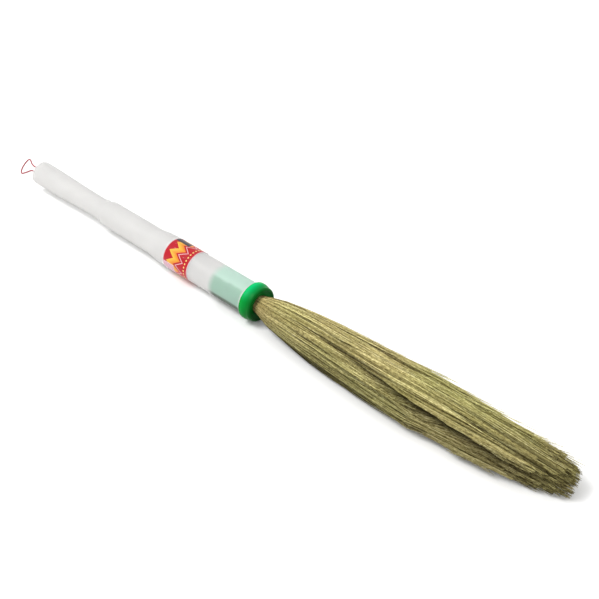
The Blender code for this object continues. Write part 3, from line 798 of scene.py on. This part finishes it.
def straw_line(chance, clump_place, clump_wave, clump_shortfall, stations, tilts):
    """The points that one straw follows, and its thickness at each."""
    bearing, out = chance.uniform(0.0, 2 * math.pi), math.sqrt(chance.random()) * CLUMP_SHARE * CELL
    across, upward = clump_place[0] + out * math.sin(bearing), clump_place[1] + out * math.cos(bearing)
    own = Wave(chance, STRAW_DRIFT_SHARE * CELL, STRAW_WAVE)
    end = STRAW_REACH - max(clump_shortfall, shortfall(chance, across, upward))
    size = STRAW_RADIUS * chance.uniform(*STRAW_SIZE_RANGE)
    slimming = chance.uniform(*TIP_SLIMMING)
    gap_share = BRIDGE_GAP_SHARE if chance.random() < BRIDGE_SHARE else 1.0
    line = []
    for reach in straw_stations(end):
        drift, swing = clump_wave.at(reach), own.at(reach)
        fading = max(0.0, (reach - WIDEST_REACH) / (STRAW_REACH - WIDEST_REACH))
        place = Vector((across + drift[0] + swing[0], upward + drift[1] + swing[1]))
        place *= 1 - slimming * fading ** TIP_SLIMMING_CURVE
        place.x -= NEAR_TIP_SLIMMING * fading ** TIP_SLIMMING_CURVE * min(0.0, place.x)
        place.x += FAR_TIP_SPREAD * fading ** TIP_SLIMMING_CURVE * max(0.0, place.x)
        if place.length > 1.0:
            place.normalize()
        depth, dim = gap_at(place, reach)
        y, z = spot(section_at(stations, tilts, reach), *(place * (1 - depth * gap_share)))
        grown = min(1.0, max(0.0, (reach - THROAT_REACH) / DRIFT_GROWTH))
        radius = size * (ROOT_SIZE_SHARE + (1 - ROOT_SIZE_SHARE) * grown - (1 - TIP_SIZE_SHARE) * fading)
        # The last value darkens the straw where it lies in a gap: painted shade
        line.append((BAND_X + reach, y, max(z, radius), radius, 1 - GAP_DIM_SHARE * dim * gap_share))
    return line


def flyaway_line(chance, stations, tilts):
    """A thin straw that leaves the bundle's surface and curves away from it."""
    angle = chance.choice((chance.uniform(*FAR_FLYAWAYS), chance.uniform(*NEAR_FLYAWAYS)))
    across, upward = math.sin(angle), math.cos(angle)
    start = chance.uniform(FLYAWAY_START[0] if across > 0.0 else NEAR_FLYAWAY_START, FLYAWAY_START[1])
    end = min(STRAW_REACH - FLYAWAY_SHORTFALL * chance.random() - NEAR_SHORTFALL * max(0.0, -across),
              start + chance.uniform(*FLYAWAY_LENGTH))
    stand = FLYAWAY_STAND * chance.uniform(*FLYAWAY_STAND_SHARES)
    stand *= 1.0 if across > 0.0 else NEAR_STAND_SHARE
    stand *= start / FLYAWAY_START[1]
    line = []
    for step in range(STRAW_STEPS + 1):
        along = step / STRAW_STEPS
        reach = start + (end - start) * along
        fading = max(0.0, (reach - WIDEST_REACH) / (STRAW_REACH - WIDEST_REACH))
        slimming = (TIP_SLIMMING[0] - NEAR_TIP_SLIMMING * min(0.0, across)) * fading ** TIP_SLIMMING_CURVE
        seat = FLYAWAY_SEAT_SHARE - slimming
        y, z = spot(section_at(stations, tilts, reach), seat * across, seat * upward)
        rise = stand * along ** 2
        radius = FLYAWAY_RADIUS * (1 - (1 - TIP_SIZE_SHARE) * along)
        y = min(max(y + rise * across, STRAW_NEAR_SIDE), STRAW_FAR_SIDE)
        z = min(max(z + rise * upward, radius), STRAW_TOP)
        line.append((BAND_X + reach, y, z, radius, 1.0))
    return line


def straws_piece(name, straws, chance):
    """All straws of one hank as one mesh. Each carries its shade, how much the painted shade of the gaps
    darkens it, and a strip of the map of its own.
    """
    verts, faces, shades, lights, corners = [], [], [], [], []
    for number, (line, shade) in enumerate(straws):
        left = (number + STRIP_EDGE_SHARE) / len(straws)
        right = (number + 1 - STRIP_EDGE_SHARE) / len(straws)
        turn, slant = chance.uniform(0.0, 2 * math.pi), chance.uniform(-CUT_SLANT, CUT_SLANT)
        start = len(verts)
        last = len(line) - 1
        for row, (x, y, z, radius, light) in enumerate(line):
            for side in range(STRAW_SIDES):
                angle = turn + 2 * math.pi * side / STRAW_SIDES
                lean = slant * math.cos(angle) if row == last else 0.0
                verts.append((x + lean, y + radius * math.cos(angle), max(0.0, z + radius * math.sin(angle))))
            shades += [shade] * STRAW_SIDES
            lights += [light] * STRAW_SIDES
        for row in range(last):
            low, high = row / last, (row + 1) / last
            base = start + row * STRAW_SIDES
            for side in range(STRAW_SIDES):
                first, second = base + side, base + (side + 1) % STRAW_SIDES
                faces.append((first, second, second + STRAW_SIDES, first + STRAW_SIDES))
                corners += [(left, low), (right, low), (right, high), (left, high)]
        middle = (left + right) / 2
        root_ring = range(start + STRAW_SIDES - 1, start - 1, -1)
        end_ring = range(start + last * STRAW_SIDES, start + (last + 1) * STRAW_SIDES)
        for ring, low, high in ((root_ring, 0.0, 1 / last), (end_ring, 1.0, 1 - 1 / last)):
            faces.append(tuple(ring))
            corners += [(left, low), (right, low), (middle, high)]
    mesh = bpy.data.meshes.new(name)
    mesh.from_pydata(verts, [], faces)
    mesh.attributes.new("straw_shade", "FLOAT", "POINT").data.foreach_set("value", shades)
    mesh.attributes.new("straw_light", "FLOAT", "POINT").data.foreach_set("value", lights)
    strips = mesh.uv_layers.new(name=STRIP_MAP)
    strips.data.foreach_set("uv", [value for corner in corners for value in corner])
    mesh.shade_smooth()
    mesh.set_sharp_from_angle(angle=STRAW_SHARP_ANGLE)
    thing = bpy.data.objects.new(name, mesh)
    bpy.context.scene.collection.objects.link(thing)
    return thing


def straw_pieces():
    """One piece of fine straws for each hank of the solids, and the flyaways shared out among them."""
    chance = random.Random(SEED)
    stations = sections()
    tilts = slopes(stations)
    straws = {sector: [] for sector in [CORE, *range(SECTORS)]}
    for sector, ring, place, wave, shade, missing in clumps(chance):
        count = CORE_STRAWS if ring <= CORE_RINGS else OUTER_STRAWS if ring > OUTER_RING else MIDDLE_STRAWS
        for _ in range(count):
            own_shade = CLUMP_SHADE_SHARE * shade + (1 - CLUMP_SHADE_SHARE) * chance.random()
            straws[sector].append((straw_line(chance, place, wave, missing, stations, tilts), own_shade))
    for index in range(FLYAWAY_COUNT):
        line = flyaway_line(chance, stations, tilts)
        straws[index % SECTORS].append((line, chance.uniform(*FLYAWAY_SHADES)))
    pieces = []
    for sector, own in straws.items():
        node = "straw_hank_core" if sector == CORE else HANKS[sector]
        piece = straws_piece(f"{node}_straws", own, chance)
        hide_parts(node)
        pieces.append(piece)
    return pieces


# Finishes

def milky_plastic():
    """Milky plastic with faint streaks and fine scuffs, tinted where the sleeve lies behind it; the tint
    carries a painted reflection on its upper side and painted shade along its underside.
    """
    tree = Tree("milky_plastic")
    streaks = tree.noise(60.0, STREAK_STRETCH)
    clouds = tree.noise(18.0)
    tone = tree.mix(streaks, *MILKY_TONES[:2])
    tone = tree.mix(tree.span(clouds, 0.35, 0.65, 0.0, 0.35), tone, MILKY_TONES[2])
    split = tree.add("ShaderNodeSeparateXYZ", tree.coords())
    wander = tree.span(tree.noise(90.0), *NOISE_RANGE, -SLEEVE_EDGE_WANDER, SLEEVE_EDGE_WANDER)
    along = tree.math("ADD", split.outputs["X"], wander)
    side = tree.math("ADD", split.outputs["Y"], wander)
    start, rim = BAND_X - SLEEVE_LENGTH, BAND_X - TUBE_RIM_LENGTH
    seen = tree.math("MULTIPLY", tree.span(along, start, start + SLEEVE_START_BLUR, 0.0, SLEEVE_SHOW_SHARE),
                     tree.span(along, rim - SLEEVE_END_BLUR, rim, 1.0, 0.0))
    # Painted reflection: the tint is lighter on the tube's far, upper side than on its near side
    behind = tree.mix(tree.span(side, SLEEVE_REFLECTION_SIDE - SLEEVE_END_BLUR, SLEEVE_REFLECTION_SIDE, 0.0, 1.0),
                      *SLEEVE_TINT_AND_REFLECTION_TONES)
    # Painted shade on the tint along the tube's underside
    underside = tree.span(split.outputs["Z"], *SLEEVE_UNDERSIDE, 1.0, 0.0)
    behind = tree.mix(underside, behind, SLEEVE_UNDERSIDE_SHADE_TONE)
    tone = tree.mix(seen, tone, behind)
    tone = tree.mix(tree.math("GREATER_THAN", split.outputs["X"], rim), tone, TUBE_RIM_TONE)
    scuffs = tree.noise(900.0, (0.35, 1.0, 1.0), detail=5.0)
    tree.set(Base_Color=tone, Transmission_Weight=0.50, IOR=1.3,
             Roughness=tree.span(scuffs, *NOISE_RANGE, 0.42, 0.56))
    height = tree.math("ADD", tree.math("MULTIPLY", streaks, 0.7), tree.math("MULTIPLY", scuffs, 0.05))
    tree.bump(height, 0.0006, 0.35)
    return tree.material


def plug_plastic():
    """The plug's denser milky plastic, with a fine moulded grain."""
    tree = Tree("plug_plastic")
    grain = tree.noise(2200.0, detail=4.0)
    clouds = tree.noise(45.0)
    tree.set(Base_Color=tree.mix(clouds, *PLUG_TONES), Alpha=0.6,
             Roughness=tree.span(grain, *NOISE_RANGE, 0.34, 0.5))
    tree.bump(grain, 0.00006)
    return tree.material


def green_plastic():
    """Green moulding with flow streaks and fine scratches, a painted highlight on top, and painted shade at
    nose and underside.
    """
    tree = Tree("green_plastic")
    flow = tree.noise(38.0, (2.6, 1.0, 1.0), detail=4.0)
    scratches = tree.noise(420.0, (0.15, 1.0, 1.0), detail=6.0, roughness=0.7)
    tone = tree.ramp(flow, *GREEN_TONES)
    split = tree.add("ShaderNodeSeparateXYZ", tree.coords())
    # Painted highlight: the band is lighter towards its top
    lit = tree.math("MULTIPLY", tree.span(split.outputs["Z"], LIT_HEIGHT, 2 * AXIS_HEIGHT, 0.0, 1.0),
                    tree.span(split.outputs["X"], BAND_X + BAND_LENGTH, BAND_X + NOSE_REACH, 1.0, 0.0))
    tone = tree.mix(lit, tone, LIT_TONE)
    # Painted shade: the nose darkens towards its front face
    nose = tree.span(split.outputs["X"], BAND_X + BAND_LENGTH, BAND_X + NOSE_REACH, 0.0, 1.0)
    tone = tree.mix(nose, tone, NOSE_AND_UNDERSIDE_SHADE, "MULTIPLY")
    # Painted shade: the underside darkens towards the floor
    under = tree.span(split.outputs["Z"], 0.0, UNDERSIDE_HEIGHT, 1.0, 0.0)
    tone = tree.mix(under, tone, NOSE_AND_UNDERSIDE_SHADE, "MULTIPLY")
    tree.set(Base_Color=tone, Specular_IOR_Level=0.06,
             Roughness=tree.span(scratches, 0.3, 0.75, 0.28, 0.46))
    tree.bump(tree.math("ADD", flow, tree.math("MULTIPLY", scratches, 0.12)), 0.0004, 0.2)
    return tree.material


def label_film():
    """A printed film: zigzags of yellow and pink on red, a row of dots, a pale panel and a dark bar."""
    tree = Tree("label_film")
    split = tree.add("ShaderNodeSeparateXYZ", tree.coords())
    lift = tree.math("SUBTRACT", split.outputs["Z"], AXIS_HEIGHT)
    turn = tree.math("DIVIDE", tree.math("ARCTAN2", split.outputs["Y"], lift), 2 * math.pi)
    along = tree.span(split.outputs["X"], label_low.x, label_high.x, 0.0, 1.0)

    def between(value, low, high):
        above = tree.math("GREATER_THAN", value, low)
        return tree.math("MULTIPLY", above, tree.math("LESS_THAN", value, high))

    colour = tree.mix(tree.noise(70.0), *LABEL_RED_TONES)
    teeth = tree.math("PINGPONG", tree.math("MULTIPLY", turn, LABEL_TEETH), 0.5)
    offset = tree.math("SUBTRACT", along, tree.math("MULTIPLY", teeth, LABEL_TOOTH_SHARE))
    flame = tree.ramp(tree.span(offset, *LABEL_FLAME_SPAN, 0.0, 1.0), *LABEL_FLAME_TONES)
    colour = tree.mix(between(offset, *LABEL_FLAME_SPAN), colour, flame)
    colour = tree.mix(between(offset, *LABEL_STRIPE_SPAN), colour, LABEL_STRIPE_TONE)
    within = tree.math("FRACT", tree.math("MULTIPLY", turn, LABEL_DOTS))
    column = tree.math("MULTIPLY", tree.math("SUBTRACT", within, 0.5), LABEL_DOT_PITCH)
    row = tree.math("MULTIPLY", tree.math("SUBTRACT", along, LABEL_DOT_ROW_SHARE), label_high.x - label_low.x)
    away_squared = tree.math("ADD", tree.math("MULTIPLY", column, column), tree.math("MULTIPLY", row, row))
    dots = tree.math("LESS_THAN", tree.math("SQRT", away_squared), LABEL_DOT_RADIUS)
    colour = tree.mix(dots, colour, LABEL_DOT_TONE)
    panel = tree.math("MULTIPLY", between(turn, *LABEL_PANEL_TURNS),
                      tree.math("LESS_THAN", along, LABEL_PANEL_END))
    stripes = tree.math("FRACT", tree.math("MULTIPLY", turn, LABEL_LINES))
    lines = tree.math("GREATER_THAN", stripes, LABEL_LINE_SHARE)
    colour = tree.mix(panel, colour, tree.mix(lines, *LABEL_PANEL_TONES))
    bar = tree.math("MULTIPLY", between(turn, *LABEL_BAR_TURNS),
                    tree.math("LESS_THAN", along, LABEL_BAR_END))
    colour = tree.mix(bar, colour, LABEL_BAR_TONE)
    off_middle = tree.math("ABSOLUTE", tree.math("SUBTRACT", along, 0.5))
    colour = tree.mix(tree.math("GREATER_THAN", off_middle, LABEL_RIM_START), colour, LABEL_RIM_TONE)
    wrinkles = tree.noise(120.0, (1.0, 2.0, 2.0), detail=2.0)
    rubs = tree.noise(500.0, (0.3, 1.0, 1.0), detail=5.0, roughness=0.7)
    colour = tree.mix(tree.span(rubs, 0.62, 0.72, 0.0, 0.35), colour, LABEL_RUBBED_TONE)
    tree.set(Base_Color=colour, Specular_IOR_Level=0.2, Coat_Weight=0.12, Coat_Roughness=0.1,
             Roughness=tree.span(rubs, *NOISE_RANGE, 0.26, 0.44))
    tree.bump(wrinkles, 0.0003, 0.4)
    return tree.material


def cord_fibre():
    """Red dyed cord: fibres along each ply, darker in the grooves and faintly fuzzy."""
    tree = Tree("cord_fibre")
    fibres = tree.noise(3800.0, detail=4.0, roughness=0.7)
    wear = tree.noise(240.0)
    tone = tree.ramp(fibres, *CORD_TONES)
    tone = tree.mix(tree.span(wear, 0.5, 0.75, 0.0, 0.25), tone, CORD_WORN_TONE)
    tree.set(Base_Color=tone, Sheen_Weight=0.5, Sheen_Roughness=0.4,
             Roughness=tree.span(fibres, *NOISE_RANGE, 0.65, 0.9))
    tree.bump(fibres, 0.0001)
    return tree.material


def tie_wire():
    """Dull galvanised wire with drawn lines and stains."""
    tree = Tree("tie_wire")
    stains = tree.noise(300.0, detail=5.0)
    tree.set(Base_Color=tree.mix(stains, *WIRE_TONES), Metallic=1.0,
             Roughness=tree.span(stains, *NOISE_RANGE, 0.30, 0.55))
    tree.bump(tree.noise(4000.0, (0.2, 1.0, 1.0)), 0.00005)
    return tree.material


def peg_wood():
    """Split pine with its grain along the peg."""
    tree = Tree("peg_wood")
    grain = tree.noise(420.0, (0.06, 1.0, 1.0), detail=6.0)
    tree.set(Base_Color=tree.ramp(grain, *PEG_TONES),
             Roughness=tree.span(grain, *NOISE_RANGE, 0.60, 0.82))
    tree.bump(grain, 0.0003, 0.6)
    return tree.material


def dry_straw():
    """Dry straw: each stalk has its own shade, with fine flecks, greener patches and a browner root, painted
    shade underneath and in the gaps, and a painted highlight on top.
    """
    tree = Tree("dry_straw")
    shade = tree.add("ShaderNodeAttribute", attribute_name="straw_shade").outputs["Fac"]
    flecks = tree.noise(620.0, (0.42, 1.0, 1.0), detail=4.0, roughness=0.70)
    spread = tree.span(flecks, 0.34, 0.66, 0.0, 1.0)
    blend = tree.math("ADD", tree.math("MULTIPLY", shade, SHADE_SHARE),
                      tree.math("MULTIPLY", spread, FLECK_SHARE))
    tone = tree.ramp(blend, *STRAW_TONES)
    green = tree.span(tree.noise(14.0, (0.5, 1.0, 1.0)), 0.45, 0.70, 0.0, GREEN_PATCH_SHARE)
    tone = tree.mix(green, tone, GREEN_PATCH_TONE, "MULTIPLY")
    split = tree.add("ShaderNodeSeparateXYZ", tree.coords())
    along = split.outputs["X"]
    # Painted shade: straws darken towards the floor, less so towards the tip
    under = tree.math("MULTIPLY", tree.span(split.outputs["Z"], UNDERSIDE_LOW, UNDERSIDE_HEIGHT, 1.0, 0.0),
                      tree.span(along, BAND_X + BELLY_REACH, BAND_X + WIDEST_REACH, 1.0, UNDERSIDE_END_SHARE))
    tone = tree.mix(under, tone, UNDERSIDE_TONE, "MULTIPLY")
    # Painted highlight: straws lighten towards the top
    top = tree.span(split.outputs["Z"], TOP_HIGHLIGHT_HEIGHT, STRAW_TOP, 0.0, 1.0)
    tone = tree.mix(top, tone, TOP_HIGHLIGHT_TONE, "MULTIPLY")
    tip_x = BAND_X + STRAW_REACH
    tip = tree.span(along, tip_x - NEAR_SHORTFALL, tip_x, 0.0, 1.0)
    tone = tree.mix(tip, tone, TIP_TONE, "MULTIPLY")
    # Painted shade: straws in the gaps darken towards the gap tone, with less sheen
    light = tree.add("ShaderNodeAttribute", attribute_name="straw_light").outputs["Fac"]
    tone = tree.mix(light, GAP_SHADE_TONE, tone)
    root = tree.span(along, BAND_X + THROAT_REACH, BAND_X + BELLY_REACH / 2, ROOT_TONE_SHARE, 0.0)
    tone = tree.mix(root, tone, ROOT_TONE, "MULTIPLY")
    tree.set(Base_Color=tone, Specular_IOR_Level=tree.math("MULTIPLY", light, STRAW_SPECULAR),
             Roughness=tree.span(flecks, *NOISE_RANGE, 0.42, 0.62))
    tree.bump(flecks, 0.0001, 0.5)
    return tree.material


def pale_floor():
    tree = Tree("pale_floor")
    tree.set(Base_Color=tree.mix(tree.noise(3.0), *FLOOR_TONES), Roughness=0.85)
    return tree.material


# Stage, light and camera

def stage_floor():
    work = bmesh.new()
    bmesh.ops.create_grid(work, x_segments=8, y_segments=8, size=FLOOR_HALF_SIZE)
    floor = finished_mesh("studio_floor", work, Matrix.Identity(4))
    floor.data.materials.append(pale_floor())


def softbox_and_dome():
    lamp = bpy.data.lights.new("softbox", "AREA")
    lamp.shape = "SQUARE"
    lamp.size = SOFTBOX_SIDE
    lamp.energy = SOFTBOX_POWER
    softbox = bpy.data.objects.new("softbox", lamp)
    softbox.location = SOFTBOX_PLACE
    softbox.rotation_euler = (-Vector(SOFTBOX_PLACE)).to_track_quat("-Z", "Y").to_euler()
    bpy.context.scene.collection.objects.link(softbox)
    world = bpy.data.worlds.new("studio")
    world.use_nodes = True
    dome = world.node_tree.nodes["Background"]
    dome.inputs["Color"].default_value = (1.0, 1.0, 1.0, 1.0)
    dome.inputs["Strength"].default_value = DOME_STRENGTH
    bpy.context.scene.world = world
    bpy.context.scene.view_settings.view_transform = "Standard"


def camera():
    lens = bpy.data.cameras.new("camera")
    lens.lens = CAMERA_LENS_MM
    eye = bpy.data.objects.new("camera", lens)
    eye.location = CAMERA_PLACE
    eye.rotation_euler = (math.pi / 2 + CAMERA_PITCH, 0.0, CAMERA_HEADING - math.pi / 2)
    bpy.context.scene.collection.objects.link(eye)
    bpy.context.scene.camera = eye


def dress(piece, node, material):
    """A fine piece that stands for a rigid node of the broom's body."""
    piece.data.materials.append(material)
    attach(piece, "broom")
    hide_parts(node)


def main():
    camera()
    fibre = cord_fibre()
    hang_loop().data.materials.append(fibre)
    dress(cord_knot(), "cord_knot", fibre)
    milky = milky_plastic()
    dress(handle_tube(), "handle_tube", milky)
    dress(grip_end(), "grip_end", milky)
    dress(end_plug(), "end_plug", plug_plastic())
    dress(label_band(), "label_band", label_film())
    dress(ferrule(), "ferrule", green_plastic())
    straw = dry_straw()
    for piece in straw_pieces():
        piece.data.materials.append(straw)
        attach(piece, "broom")
    for node, material in (("binding_wire", tie_wire()), ("butt_peg", peg_wood())):
        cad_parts[node].material_slots[0].material = material
    stage_floor()
    softbox_and_dome()


main()
